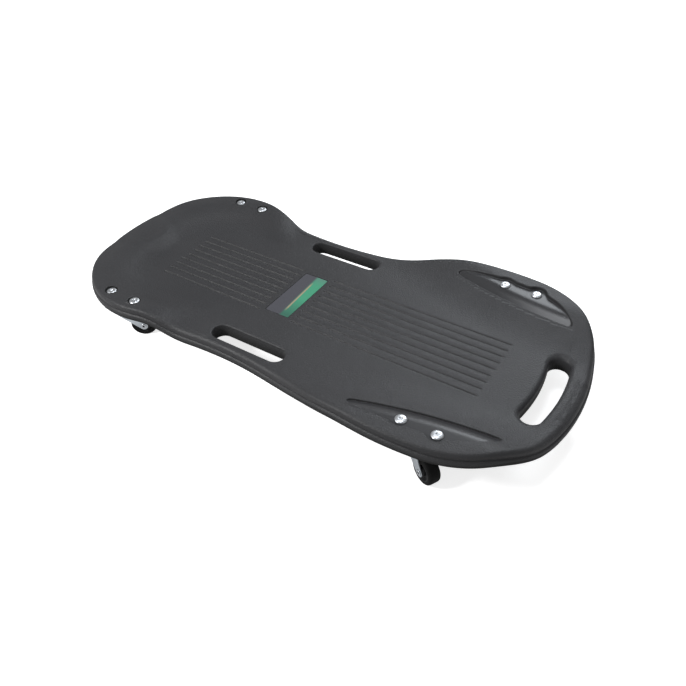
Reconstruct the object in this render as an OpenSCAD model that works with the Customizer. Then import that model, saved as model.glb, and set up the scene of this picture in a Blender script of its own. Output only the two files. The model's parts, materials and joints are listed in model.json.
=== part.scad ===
// A low-profile mechanic's creeper: a hollow moulded board on four swivel casters.
// Units are millimetres. The floor is at Z = 0, +X runs to the end with the curved
// handle slot, +Y to the far side and +Z up.

/* [Board] */
// Length of the board, end to end
board_length = 1018; // [968:1:1068]
// Width of the board across the head lobes
head_width = 464; // [450:1:478]
// Width of the board across the foot lobes
foot_width = 495; // [482:1:508]
// Height of the flat bed above the floor
bed_height = 71; // [71:0.5:75]
// Thickness of the moulded board, top skin to bottom skin
board_thickness = 29; // [28:0.5:30]
// Thickness of the moulded skin
skin = 3.2; // [2.6:0.1:3.6]
// Radius of the two end arcs
end_radius = 405; // [385:1:425]
// Radius of the four corners
corner_radius = 184; // [176:1:192]
// Radius of the long sides of the foot lobe
side_radius = 580; // [560:1:600]
// Where the foot lobe is widest, along X
side_centre_x = 267; // [262:1:272]
// Radius of the waist's long sides
waist_radius = 760; // [740:1:780]
// How far the lower lip stands out past the upper edge
lip_step = 3; // [2:0.5:4]
// Height of the upper edge above the lower lip
lip_drop = 13; // [11:0.5:15]

/* [Bolsters] */
// Rise of the foot bolsters above the bed
foot_rise = 31; // [30:0.5:32]
// Rise of the foot bolsters at their inner crest
crest_rise = 27.5; // [26.5:0.5:28.5]
// Radius of the inner edge of each foot bolster
bolster_radius = 889; // [860:1:920]
// Where the foot bolster arc is nearest the middle line, along X
bolster_centre_x = 490; // [480:1:500]
// Distance of that nearest point from the middle line
bolster_near_y = 141; // [138:1:144]
// Run of the bolster slope in plan
slope_run = 14; // [12:0.5:16]
// Start of the foot bolster ramp, along X
foot_ramp_start = 85; // [75:1:95]
// Knee of the foot bolster ramp, along X
foot_ramp_knee = 145; // [139:1:150]
// End of the foot bolster ramp, along X
foot_ramp_end = 215; // [205:1:225]
// Rise of the head bolsters above the bed
head_rise = 25; // [24.5:0.5:26]
// Rise of the half-moon pad and of the dip in the rim behind it
head_end_rise = 14; // [12:0.5:16]
// Start of the head bolster ramp, along X
head_ramp_start = -198; // [-204:1:-192]
// End of the head bolster ramp, along X
head_ramp_end = -255; // [-261:1:-249]
// Radius of the dished bed at the head end
basin_radius = 150; // [144:1:152]
// Centre of the dished bed at the head end, along X
basin_centre_x = -270; // [-275:1:-265]
// Run of the dished bed's wall in plan
basin_run = 40; // [36:1:42]
// Radius of the half-moon head pad
pad_radius = 66; // [60:1:70]
// Centre of the head pad, along X
pad_centre_x = -490; // [-494:1:-486]
// Run of the head pad's slope in plan
pad_run = 7; // [6:0.5:8]
// Run of the dip's sides, from the pad up to the rim
dip_run = 40; // [36:1:44]

/* [Grooves and label] */
// Distance between neighbouring grooves
groove_pitch = 18.2; // [17.6:0.1:18.8]
// Number of grooves in each group
groove_count = 9; // [7:1:9]
// Width of a groove
groove_width = 5; // [4:0.25:6]
// Depth of a groove
groove_depth = 2.5; // [2:0.25:2.8]
// Head end of the first group, along X
head_groove_start = -349; // [-353:1:-345]
// Foot end of the first group, along X
head_groove_end = -95; // [-99:1:-93]
// Head end of the second group, along X
foot_groove_start = -23; // [-25:1:-19]
// Foot end of the second group, along X
foot_groove_end = 355; // [348:1:360]
// Label recess along X
label_length = 53; // [48:1:55]
// Label recess across the board
label_width = 135; // [125:1:140]
// Middle of the label, along X
label_centre_x = -60; // [-61:1:-58]
// Depth of the label recess
label_recess = 1.2; // [1:0.1:1.5]
// Thickness of the label plate
label_thickness = 0.8; // [0.6:0.1:0.9]

/* [Handle slots] */
// Clear length of a side handle slot
slot_length = 160; // [150:1:168]
// Clear width of a side handle slot
slot_width = 36; // [32:1:38]
// Middle of the side slots, along X
slot_centre_x = -53; // [-58:1:-48]
// Distance of the side slots from the middle line
slot_offset_y = 162; // [159:1:164]
// Clear width of the curved end slot
end_slot_width = 36; // [32:1:38]
// Middle of the end slot, along X
end_slot_x = 449; // [446:1:452]
// Distance from the middle line to the centre of each round end of the end slot
end_slot_half = 66; // [60:1:70]
// Middle of the inset grip panel, along X
grip_x = 490; // [488:1:491]
// Width of the inset grip panel
grip_width = 12; // [10:0.5:13]
// Half length of the inset grip panel
grip_half = 46; // [42:1:50]
// Depth of the inset grip panel
grip_depth = 0.8; // [0.6:0.1:1]

/* [Pockets and rivets] */
// Height of the head rivets' seats above the bed
head_seat_rise = 19.5; // [19:0.25:20]
// Height of the foot pockets and their rivets' seats above the bed
foot_seat_rise = 23; // [22.5:0.25:23.5]
// Distance of the foot pocket from the board's edge
pocket_inset = 30; // [28:0.5:32]
// Land between the bolster crest and the pocket
pocket_land = 4; // [3.5:0.25:5]
// Head end of the foot pockets, along X
pocket_start = 168; // [165:1:180]
// Foot end of the foot pockets, along X
pocket_end = 434; // [428:1:436]
// Radius of the scallops and counterbores round the rivet heads
counterbore_radius = 13.5; // [12.5:0.25:14]
// Diameter of a rivet head
rivet_head_diameter = 20; // [18:0.5:21]
// Height of a rivet head
rivet_head_height = 4; // [3.5:0.25:4.5]
// Diameter of the dimple in a rivet head
rivet_dimple_diameter = 5; // [4:0.25:5.5]
// Depth of the dimple in a rivet head
rivet_dimple_depth = 2; // [1.5:0.25:2.5]
// Diameter of a rivet shank
rivet_shank_diameter = 6.4; // [6:0.1:6.6]
// Play on each side of the rivet shanks, the axle, the hub and the label
fixed_play = 0.1; // [0.05:0.05:0.15]
// Diameter of the set end of a rivet
rivet_tail_diameter = 10.5; // [10:0.25:11]
// Height of the set end of a rivet
rivet_tail_height = 5; // [4:0.25:6]
// Radius of the solid column that each rivet clamps
column_radius = 17; // [16.5:0.5:18]
// Distance between the two rivets of a caster
rivet_pitch = 62; // [60:0.5:63]

/* [Casters] */
// Middle of the head casters, along X
head_caster_x = -331; // [-334:1:-328]
// Distance of the head casters from the middle line
head_caster_y = 197; // [196:0.5:199]
// Middle of the foot casters, along X
foot_caster_x = 315; // [312:1:318]
// Distance of the foot casters from the middle line
foot_caster_y = 201.5; // [200:0.5:203]
// Height of a caster from the floor to its plate's top
caster_height = 66; // [66:0.25:66.5]
// Thickness of a caster plate
plate_thickness = 2.5; // [2.5:0.1:2.8]
// Length of a caster plate
plate_length = 84; // [80:1:86]
// Width of a caster plate
plate_width = 46; // [44:1:48]
// Diameter of a wheel
wheel_diameter = 50; // [48:0.5:50]
// Width of a wheel
wheel_width = 22; // [20:0.5:23]
// Distance from the swivel axis to the wheel axis
trail = 27; // [26:0.5:28]
// Inside width of a fork
fork_gap = 25; // [24.5:0.1:26]
// Thickness of the fork's sheet
fork_sheet = 2.4; // [2:0.1:2.5]
// Diameter of the fork's crown
crown_diameter = 44; // [42:1:46]
// Radius of the rounded end of a fork leg
leg_end_radius = 8; // [7:0.25:9]
// Width of a fork leg where it leaves the crown
leg_root = 34; // [32:0.5:36]
// Diameter of a bearing ball
ball_diameter = 3.2; // [3:0.05:3.2]
// Number of balls in the bearing
ball_count = 12; // [10:1:13]
// Play above and below the bearing balls
ball_play = 0.15; // [0.1:0.05:0.2]
// Radius of the ring of balls
ball_ring = 14; // [13:0.25:15]
// Diameter of the kingpin
kingpin_diameter = 8; // [7.5:0.1:8.5]
// Diameter of the kingpin's lower head
kingpin_head = 14; // [13:0.25:15]
// Height of the kingpin's lower head
kingpin_head_height = 2.2; // [2:0.1:2.4]
// Thickness of the thrust washer under the crown
washer_thickness = 1.5; // [1.2:0.1:1.6]
// Diameter of the thrust washer
washer_diameter = 19; // [18:0.25:20]
// Running clearance on each side of the swivel, the washer and the wheel bore
running_clearance = 0.08; // [0.05:0.01:0.1]
// Diameter of the hollow axle
axle_diameter = 8; // [7.5:0.1:8.5]
// Bore of the hollow axle
axle_bore = 4.5; // [4:0.1:5]
// Diameter of the axle's rolled ends
axle_head_diameter = 11; // [10.5:0.25:11.5]
// Height of the axle's rolled ends
axle_head_height = 1.2; // [1:0.1:1.4]
// Wall of the bush round the axle
bush_wall = 1.2; // [1:0.1:1.4]
// Diameter of the joint between hub and tyre
tyre_bore = 37; // [36:0.25:38]
// Radius of the tyre's shoulders
tyre_shoulder = 4; // [3.5:0.25:4.5]
// Depth of the recess in each side of the hub
hub_recess = 4; // [3:0.25:5]
// Direction of the near head caster's trail, in degrees from +X
head_near_angle = 38; // [0:1:60]
// Direction of the far head caster's trail, in degrees from +X
head_far_angle = 22; // [0:1:60]
// Direction of the near foot caster's trail, in degrees from +X
foot_near_angle = -28; // [-60:1:0]
// Direction of the far foot caster's trail, in degrees from +X
foot_far_angle = -40; // [-60:1:0]

/* [Hidden] */
$fn = 96;

// Overlap that keeps joined solids joined and cutters clear of the faces they pass
overlap = board_thickness / 30;
// Reach of the cutters past the board in plan and in height
reach = 1.5 * board_length;
board_bottom = bed_height - board_thickness;
head_seat_z = bed_height + head_seat_rise;
foot_seat_z = bed_height + foot_seat_rise;
tallest = bed_height + foot_rise;
// Lower reach of the raised solids, well inside the board
raised_low = bed_height - board_thickness / 4;
// Change of a slope's plan radius for each unit of height
slope_rate = slope_run / crest_rise;
basin_rate = basin_run / head_rise;
pad_rate = pad_run / head_end_rise;
dip_rate = dip_run / (head_rise - head_end_rise);
// The straight sides of the dished bed start a little inside its round end
basin_share = 0.98;
basin_half = basin_share * basin_radius;

function unit(v) = v / norm(v);
// Point at distance ra from a and rb from b, on the left of the way from a to b for side 1
function meet(a, ra, b, rb, side) =
    let (gap = norm(b - a))
    let (along = (ra * ra - rb * rb + gap * gap) / (2 * gap))
    let (up = sqrt(ra * ra - along * along))
    let (u = (b - a) / gap)
    a + along * u + side * up * [-u[1], u[0]];
// Where the line from a through b crosses the given Y
function cross(a, b, y) = [a[0] + (y - a[1]) * (b[0] - a[0]) / (b[1] - a[1]), y];
function flip(p) = [p[0], -p[1]];
function flipped(list) = [for (p = list) flip(p)];
function backward(list) = [for (i = [len(list) - 1:-1:0]) list[i]];

// How far a corner's disc stands out of the end and waist arcs, and a long side's arc out of the
// waist arc, so that neighbouring arcs cross cleanly
corner_join = corner_radius / 500;
side_join = corner_join / 2;
// The same for the round ends of the curved slot and panel, as a share of their radius
arc_join_share = 0.007;
// How far the outline's slices reach into each other
lap = board_length / 34;
// Centres of the outline's arcs on the far half
head_end = [end_radius - board_length / 2, 0];
foot_end = [board_length / 2 - end_radius, 0];
head_corner_y = head_width / 2 - corner_radius;
corner_gap = end_radius - corner_radius + corner_join;
head_corner = [head_end[0] - sqrt(pow(corner_gap, 2) - pow(head_corner_y, 2)), head_corner_y];
side_centre = [side_centre_x, foot_width / 2 - side_radius];
foot_corner = meet(side_centre, side_radius - corner_radius + side_join, foot_end, corner_gap, -1);
waist_centre = meet(head_corner, waist_radius + corner_radius - corner_join,
    side_centre, waist_radius + side_radius - side_join, 1);

// Point past b on the line from a
function past(a, b) = b + 2 * lap * unit(b - a);

// Plan of the board, drawn in from its edge by the given inset
module outline(inset) {
    waist(inset);
    end_slice(head_end, head_corner, flip(head_corner), inset);
    end_slice(foot_end, flip(foot_corner), foot_corner, inset);
    for (c = [head_corner, flip(head_corner), foot_corner, flip(foot_corner)])
        translate(c)
            circle(corner_radius - inset, $fn = 180);
    side_slices(inset);
}

// Block between the lobes, hollowed on both sides
module waist(inset) {
    left = head_corner - [lap, head_corner[1]];
    right = [side_centre_x, 0];
    left_rim = head_corner + (corner_radius - inset) * unit(waist_centre - head_corner);
    right_rim = side_centre + (side_radius - inset) * unit(waist_centre - side_centre);
    half = [left, past(left, left_rim), past(right, right_rim), right];
    difference() {
        polygon(concat(flipped(half), backward(half)));
        for (y = [-waist_centre[1], waist_centre[1]])
            translate([waist_centre[0], y])
                circle(waist_radius + inset, $fn = 360);
    }
}

// Slice of an end arc, turning left from one corner's centre to the other's
module end_slice(centre, from, to, inset) {
    intersection() {
        translate(centre)
            circle(end_radius - inset, $fn = 360);
        polygon([centre, centre + reach * unit(from - centre), centre + reach * unit(to - centre)]);
    }
}

// Slices of the foot lobe's long sides, from past the middle line out
module side_slices(inset) {
    past_middle = -foot_width / 8;
    side_tangent = side_centre + side_radius * unit(waist_centre - side_centre);
    left = cross(side_centre, side_tangent, past_middle) - [lap, 0];
    right = cross(side_centre, foot_corner, past_middle) + [lap, 0];
    left_rim = side_tangent - [lap, 0];
    right_rim = side_centre + (side_radius - inset) * unit(foot_corner - side_centre);
    points = [left, right, past(right, right_rim), past(left, left_rim)];
    side_slice(side_centre, points, inset);
    side_slice(flip(side_centre), flipped(backward(points)), inset);
}

// Slice of a long side's circle inside the given corner points
module side_slice(centre, points, inset) {
    intersection() {
        translate(centre)
            circle(side_radius - inset, $fn = 360);
        polygon(points);
    }
}

// Prism along Y under a height profile given as points of X and Z
module x_profile(points) {
    rotate([90, 0, 0])
        translate([0, 0, -reach / 2])
            linear_extrude(reach)
                polygon(points);
}

// Prism along X under a height profile given as points of Y and Z
module y_profile(points) {
    rotate([90, 0, 90])
        translate([0, 0, -reach / 2])
            linear_extrude(reach)
                polygon(points);
}

// Round column whose radius shrinks with height by the given rate, true to its radius at the given height
module tapered(radius, rate, at_z, from_z, to_z) {
    translate([0, 0, from_z])
        cylinder(h = to_z - from_z, r1 = radius + rate * (at_z - from_z),
            r2 = radius + rate * (at_z - to_z), $fn = 360);
}

// Both foot bolsters, drawn past the outline and grown in plan
module foot_bolsters(grow) {
    level_y = foot_width / 2 - pocket_inset;
    crest_z = bed_height + crest_rise;
    centre_y = bolster_near_y + bolster_radius;
    intersection() {
        x_profile([[foot_ramp_start - grow, raised_low], [foot_ramp_start - grow, bed_height],
            [foot_ramp_knee - grow, crest_z], [foot_ramp_end - grow, tallest],
            [board_length, tallest], [board_length, raised_low]]);
        y_profile([[-board_length, raised_low], [-board_length, tallest], [-level_y, tallest],
            [-bolster_near_y, crest_z], [bolster_near_y, crest_z], [level_y, tallest],
            [board_length, tallest], [board_length, raised_low]]);
        for (y = [-centre_y, centre_y])
            translate([bolster_centre_x, y])
                tapered(bolster_radius + grow, slope_rate, crest_z, raised_low, tallest + overlap);
    }
}

// The raised rim and bolsters round the head end, with the dished bed and the dip taken out
module head_bolsters(grow) {
    pad_z = bed_height + head_end_rise;
    top_z = bed_height + head_rise;
    low_half = basin_half - grow - basin_rate * (bed_height - raised_low + overlap);
    high_half = basin_half - grow + basin_rate * (top_z + overlap - bed_height);
    difference() {
        x_profile([[-board_length, raised_low], [-board_length, top_z], [head_ramp_end + grow, top_z],
            [head_ramp_start + grow, bed_height], [head_ramp_start + grow, raised_low]]);
        translate([basin_centre_x, 0])
            tapered(basin_radius - grow, -basin_rate, bed_height, raised_low - overlap, top_z + overlap);
        translate([pad_centre_x, 0])
            tapered(pad_radius - overlap - grow, -dip_rate, pad_z, pad_z, top_z + overlap);
        intersection() {
            y_profile([[-low_half, raised_low - overlap], [-high_half, top_z + overlap],
                [high_half, top_z + overlap], [low_half, raised_low - overlap]]);
            translate([basin_centre_x, -reach / 2, raised_low - overlap])
                cube([reach, reach, tallest]);
        }
    }
}

// Every raised part of the top, drawn past the outline
module raised(grow) {
    foot_bolsters(grow);
    head_bolsters(grow);
    translate([pad_centre_x, 0])
        tapered(pad_radius + grow, pad_rate, bed_height + head_end_rise, raised_low,
            bed_height + head_end_rise);
}

// Board between its underside and a top skin lowered by the given drop
module board_body(inset, drop) {
    intersection() {
        translate([0, 0, board_bottom])
            linear_extrude(tallest - board_bottom + overlap)
                outline(inset);
        union() {
            translate([-reach / 2, -reach / 2, board_bottom - overlap])
                cube([reach, reach, board_thickness + overlap - drop]);
            translate([0, 0, -drop])
                raised(0);
        }
    }
}

// Plan of a straight slot with round ends
module slot_plan(length, width) {
    square([length - width, width], center = true);
    for (x = [-1, 1])
        translate([x * (length - width) / 2, 0])
            circle(width / 2);
}

// Straight slot through the board
module side_slot(grow) {
    width = slot_width + 2 * grow;
    height = board_thickness + 2 * overlap;
    translate([slot_centre_x, 0, board_bottom - overlap])
        linear_extrude(height)
            slot_plan(slot_length + 2 * grow, width);
}

// Curved slot or panel about the foot end's arc, as a plan
module arc_plan(middle_x, half, width) {
    radius = middle_x - foot_end[0];
    angle = asin(half / radius);
    far = reach * [cos(angle), sin(angle)];
    translate(foot_end) {
        intersection() {
            difference() {
                circle(radius + width / 2, $fn = 360);
                circle(radius - width / 2, $fn = 360);
            }
            polygon([[0, 0], flip(far), far]);
        }
        for (a = [-angle, angle])
            rotate(a)
                translate([radius, 0])
                    circle((1 + arc_join_share) * width / 2);
    }
}

// Plan of the far foot pocket
module pocket_plan(grow) {
    intersection() {
        outline(pocket_inset - grow);
        translate([bolster_centre_x, bolster_near_y + bolster_radius])
            circle(bolster_radius - pocket_land + grow, $fn = 360);
        translate([pocket_start - grow, 0])
            square([pocket_end - pocket_start + 2 * grow, board_length]);
    }
}

// Places its children at the swivel axes of the two head casters
module at_head_casters() {
    for (y = [-head_caster_y, head_caster_y])
        translate([head_caster_x, y, 0])
            children();
}

// Places its children at the swivel axes of the two foot casters
module at_foot_casters() {
    for (y = [-foot_caster_y, foot_caster_y])
        translate([foot_caster_x, y, 0])
            children();
}

// Places its children at the swivel axis of all four casters
module at_casters() {
    at_head_casters()
        children();
    at_foot_casters()
        children();
}

// Places its children at a caster's two rivets
module at_rivets() {
    for (x = [-rivet_pitch / 2, rivet_pitch / 2])
        translate([x, 0, 0])
            children();
}

// One group of grooves or the block that holds it, from one X to another
module groove_plan(from_x, to_x) {
    for (i = [0:groove_count - 1])
        translate([(from_x + to_x) / 2, (i - (groove_count - 1) / 2) * groove_pitch])
            slot_plan(to_x - from_x, groove_width);
}

// Underside channels that stiffen the bed
channel_width = board_thickness / 2;
channel_depth = board_thickness / 4;
channel_pitch = 3 * groove_pitch;
channel_length = 0.5 * board_length;
channel_count = 4;
module channels(grow) {
    translate([0, 0, board_bottom - overlap])
        linear_extrude(channel_depth + overlap + grow)
            for (i = [0:channel_count - 1])
                translate([0, (i - (channel_count - 1) / 2) * channel_pitch])
                    slot_plan(channel_length + 2 * grow, channel_width + 2 * grow);
}

// Plan of a caster plate
module plate_plan(grow) {
    round = plate_width / 5;
    for (x = [-1, 1])
        for (y = [-1, 1])
            translate([x * (plate_length / 2 - round), y * (plate_width / 2 - round)])
                circle(round + grow, $fn = 48);
    square([plate_length + 2 * grow, plate_width - 2 * round], center = true);
    square([plate_length - 2 * round, plate_width + 2 * grow], center = true);
}

// Hollow inside the moulded skin
module cavity() {
    field = (groove_count - 1) * groove_pitch + groove_width + 2 * skin;
    field_z = bed_height - groove_depth - skin;
    difference() {
        intersection() {
            translate([0, 0, board_bottom + skin])
                linear_extrude(tallest - board_bottom)
                    outline(lip_step + skin);
            union() {
                translate([-reach / 2, -reach / 2, board_bottom])
                    cube([reach, reach, board_thickness - skin]);
                translate([0, 0, -skin])
                    raised(-skin);
            }
        }
        translate([0, 0, skin - board_thickness])
            raised(skin);
        at_casters()
            translate([0, 0, board_bottom])
                linear_extrude(caster_height + 2 * skin - board_bottom)
                    plate_plan(2 * skin);
        at_casters()
            at_rivets()
                translate([0, 0, board_bottom])
                    cylinder(h = tallest, r = column_radius);
        for (y = [-slot_offset_y, slot_offset_y])
            translate([0, y, 0])
                side_slot(skin);
        translate([0, 0, board_bottom])
            linear_extrude(tallest)
                arc_plan(end_slot_x, end_slot_half, end_slot_width + 2 * skin);
        for (s = [-1, 1])
            mirror([0, (1 - s) / 2, 0])
                translate([0, 0, foot_seat_z - skin])
                    linear_extrude(tallest)
                        pocket_plan(skin);
        translate([head_groove_start - skin, -field / 2, field_z])
            cube([head_groove_end - head_groove_start + 2 * skin, field, tallest]);
        translate([foot_groove_start - skin, -field / 2, field_z])
            cube([foot_groove_end - foot_groove_start + 2 * skin, field, tallest]);
        translate([label_centre_x - label_length / 2 - skin, -label_width / 2 - skin, field_z])
            cube([label_length + 2 * skin, label_width + 2 * skin, tallest]);
        translate([0, 0, bed_height - grip_depth - skin])
            linear_extrude(tallest)
                arc_plan(grip_x, grip_half, grip_width + 2 * skin);
        channels(skin);
    }
}

// Counterbore down to a seat, and the hole under it
module rivet_hole(seat_z) {
    translate([0, 0, seat_z])
        cylinder(h = tallest, r = counterbore_radius);
    cylinder(h = tallest, d = rivet_shank_diameter + 2 * fixed_play);
}

module board_shell() {
    color([0.29, 0.3, 0.31])
        difference() {
            union() {
                difference() {
                    union() {
                        board_body(lip_step, 0);
                        board_body(0, lip_drop);
                    }
                    translate([0, 0, -board_thickness])
                        raised(0);
                    at_casters()
                        translate([0, 0, board_bottom - overlap])
                            linear_extrude(caster_height - board_bottom + overlap)
                                plate_plan(skin);
                }
                at_casters()
                    translate([0, 0, caster_height])
                        linear_extrude(2 * skin)
                            plate_plan(skin);
            }
            cavity();
            for (y = [-slot_offset_y, slot_offset_y])
                translate([0, y, 0])
                    side_slot(0);
            translate([0, 0, board_bottom - overlap])
                linear_extrude(board_thickness + 2 * overlap)
                    arc_plan(end_slot_x, end_slot_half, end_slot_width);
            translate([0, 0, bed_height - grip_depth])
                linear_extrude(foot_rise)
                    arc_plan(grip_x, grip_half, grip_width);
            translate([0, 0, bed_height - groove_depth])
                linear_extrude(foot_rise) {
                    groove_plan(head_groove_start, head_groove_end);
                    groove_plan(foot_groove_start, foot_groove_end);
                }
            translate([label_centre_x, 0, bed_height - label_recess])
                linear_extrude(foot_rise)
                    square([label_length, label_width], center = true);
            for (s = [-1, 1])
                mirror([0, (1 - s) / 2, 0])
                    translate([0, 0, foot_seat_z])
                        linear_extrude(tallest)
                            pocket_plan(0);
            at_head_casters()
                at_rivets()
                    rivet_hole(head_seat_z);
            at_foot_casters()
                at_rivets()
                    rivet_hole(foot_seat_z);
            channels(0);
        }
}

// Thin two-tone label, left without any mark
module label_plate() {
    color([0.25, 0.54, 0.42])
        translate([label_centre_x, 0, bed_height - label_recess])
            linear_extrude(label_thickness)
                square([label_length - 2 * fixed_play, label_width - 2 * fixed_play], center = true);
}

// Underside of the caster plates
plate_z = caster_height - plate_thickness;

// Large-flange blind rivet with a domed head, a dimple and a swollen end under the plate
module rivet(seat_z) {
    head_r = rivet_head_diameter / 2;
    shank_r = rivet_shank_diameter / 2;
    dimple_r = rivet_dimple_diameter / 2;
    rim = rivet_head_height / 3;
    rotate_extrude()
        polygon([[0, plate_z - rivet_tail_height], [rivet_tail_diameter / 4, plate_z - rivet_tail_height],
            [rivet_tail_diameter / 2, plate_z - rivet_tail_height / 2],
            [rivet_tail_diameter / 2, plate_z - rim / 2], [shank_r, plate_z], [shank_r, seat_z],
            [head_r, seat_z], [head_r, seat_z + rim], [head_r - rim, seat_z + 2 * rim],
            [dimple_r + rim, seat_z + rivet_head_height], [dimple_r, seat_z + rivet_head_height],
            [dimple_r, seat_z + rivet_head_height - rivet_dimple_depth],
            [0, seat_z + rivet_head_height - rivet_dimple_depth]]);
}

module rivets() {
    color([0.8, 0.82, 0.85]) {
        at_head_casters()
            at_rivets()
                rivet(head_seat_z);
        at_foot_casters()
            at_rivets()
                rivet(foot_seat_z);
    }
}

// Heights of the swivel bearing, from the plate down
crown_top = plate_z - ball_diameter - 2 * ball_play;
crown_bottom = crown_top - fork_sheet;
washer_top = crown_bottom - running_clearance;
kingpin_low = washer_top - washer_thickness - fixed_play;
axle_z = wheel_diameter / 2;

// Steel plate under the board
module caster_plate() {
    color([0.74, 0.76, 0.79])
        translate([0, 0, plate_z])
            difference() {
                linear_extrude(plate_thickness)
                    plate_plan(0);
                translate([0, 0, -plate_thickness]) {
                    cylinder(h = 3 * plate_thickness, d = kingpin_diameter + 2 * fixed_play);
                    for (x = [-1, 1])
                        translate([x * rivet_pitch / 2, 0, 0])
                            cylinder(h = 3 * plate_thickness, d = rivet_shank_diameter + 2 * fixed_play);
                }
            }
}

// Headed pin that the fork swivels on
module caster_kingpin() {
    color([0.7, 0.72, 0.75])
        rotate_extrude()
            polygon([[0, kingpin_low - kingpin_head_height],
                [kingpin_head / 2 - kingpin_head_height / 2, kingpin_low - kingpin_head_height],
                [kingpin_head / 2, kingpin_low - kingpin_head_height / 2], [kingpin_head / 2, kingpin_low],
                [kingpin_diameter / 2, kingpin_low], [kingpin_diameter / 2, caster_height],
                [0, caster_height]]);
}

// Ring of bearing balls between the plate and the crown
module caster_balls() {
    color([0.85, 0.86, 0.88])
        for (i = [0:ball_count - 1])
            rotate(i * 360 / ball_count)
                translate([ball_ring, 0, (plate_z + crown_top) / 2])
                    sphere(d = ball_diameter, $fn = 24);
}

// Thrust washer between the crown and the kingpin's head
module caster_washer() {
    color([0.62, 0.63, 0.65])
        translate([0, 0, washer_top - washer_thickness])
            difference() {
                cylinder(h = washer_thickness, d = washer_diameter);
                translate([0, 0, -washer_thickness])
                    cylinder(h = 3 * washer_thickness, d = kingpin_diameter + 2 * fixed_play);
            }
}

// Point where the line from p touches the circle of radius r about c, on the given side
function touch(p, c, r, side) =
    let (gap = norm(c - p))
    let (lean = asin(r / gap))
    let (u = (c - p) / gap)
    let (v = [u[0] * cos(lean) - side * u[1] * sin(lean), side * u[0] * sin(lean) + u[1] * cos(lean)])
    p + sqrt(gap * gap - r * r) * v;

// Outline of one fork leg in X and Z
module leg_plan() {
    axle = [trail, axle_z];
    back = [-leg_root / 2, crown_bottom];
    front = [leg_root / 2, crown_bottom];
    lift = [0, fork_sheet / 2];
    polygon([back, touch(back, axle, leg_end_radius, -1), axle, touch(front, axle, leg_end_radius, 1),
        front, front + lift, back + lift]);
    translate(axle)
        circle(leg_end_radius);
}

// Pressed fork: round crown with a turned-up rim, and two legs
module caster_fork() {
    rim_height = ball_diameter / 2;
    color([0.78, 0.8, 0.84])
        difference() {
            union() {
                translate([0, 0, crown_bottom])
                    cylinder(h = fork_sheet, d = crown_diameter);
                translate([0, 0, crown_top - overlap])
                    difference() {
                        cylinder(h = rim_height + overlap, d = crown_diameter);
                        translate([0, 0, -overlap])
                            cylinder(h = rim_height + 3 * overlap, d = crown_diameter - 2 * fork_sheet);
                    }
                for (y = [-fork_gap / 2, fork_gap / 2 + fork_sheet])
                    translate([0, y, 0])
                        rotate([90, 0, 0])
                            linear_extrude(fork_sheet)
                                leg_plan();
            }
            cylinder(h = caster_height, d = kingpin_diameter + 2 * running_clearance);
            translate([trail, fork_gap, axle_z])
                rotate([90, 0, 0])
                    cylinder(h = 2 * fork_gap, d = axle_diameter + 2 * fixed_play);
        }
}

// Turns its children from the Z axis onto the wheel axis
module on_axle() {
    translate([trail, 0, axle_z])
        rotate([90, 0, 0])
            children();
}

// Hollow axle with rolled ends outside the legs
module caster_axle() {
    half = fork_gap / 2 + fork_sheet + fixed_play;
    color([0.72, 0.74, 0.77])
        on_axle()
            rotate_extrude()
                polygon([[axle_bore / 2, -half - axle_head_height],
                    [axle_head_diameter / 2 - axle_head_height / 2, -half - axle_head_height],
                    [axle_head_diameter / 2, -half - axle_head_height / 2], [axle_head_diameter / 2, -half],
                    [axle_diameter / 2, -half], [axle_diameter / 2, half], [axle_head_diameter / 2, half],
                    [axle_head_diameter / 2, half + axle_head_height / 2],
                    [axle_head_diameter / 2 - axle_head_height / 2, half + axle_head_height],
                    [axle_bore / 2, half + axle_head_height]]);
}

bush_inner = axle_diameter / 2 + fixed_play;
bush_outer = bush_inner + bush_wall;

// Bush that the legs clamp round the axle
module caster_bush() {
    half = fork_gap / 2 - fixed_play;
    color([0.66, 0.67, 0.69])
        on_axle()
            translate([0, 0, -half])
                difference() {
                    cylinder(h = 2 * half, r = bush_outer);
                    translate([0, 0, -half])
                        cylinder(h = 4 * half, r = bush_inner);
                }
}

// Hub with a recessed web on each side
module caster_hub() {
    half = wheel_width / 2;
    boss = bush_outer + 3 * bush_wall;
    outer = tyre_bore / 2 - fixed_play;
    ring = outer - 2 * bush_wall;
    color([0.3, 0.3, 0.31])
        on_axle()
            rotate_extrude()
                polygon([[bush_outer + running_clearance, -half], [boss, -half], [boss, hub_recess - half],
                    [ring, hub_recess - half], [ring, -half], [outer, -half], [outer, half],
                    [ring, half], [ring, half - hub_recess], [boss, half - hub_recess], [boss, half],
                    [bush_outer + running_clearance, half]]);
}

// Tyre with round shoulders
module caster_tyre() {
    half = wheel_width / 2;
    inner = tyre_bore / 2;
    outer = wheel_diameter / 2;
    color([0.09, 0.09, 0.09])
        on_axle()
            rotate_extrude() {
                translate([inner, -half])
                    square([outer - tyre_shoulder - inner, wheel_width]);
                translate([inner, tyre_shoulder - half])
                    square([outer - inner, wheel_width - 2 * tyre_shoulder]);
                for (y = [tyre_shoulder - half, half - tyre_shoulder])
                    translate([outer - tyre_shoulder, y])
                        circle(tyre_shoulder);
            }
}

// One of the four casters' places, turned by the given angle
module head_near(angle) {
    translate([head_caster_x, -head_caster_y, 0])
        rotate(angle)
            children();
}

module head_far(angle) {
    translate([head_caster_x, head_caster_y, 0])
        rotate(angle)
            children();
}

module foot_near(angle) {
    translate([foot_caster_x, -foot_caster_y, 0])
        rotate(angle)
            children();
}

module foot_far(angle) {
    translate([foot_caster_x, foot_caster_y, 0])
        rotate(angle)
            children();
}

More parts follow.
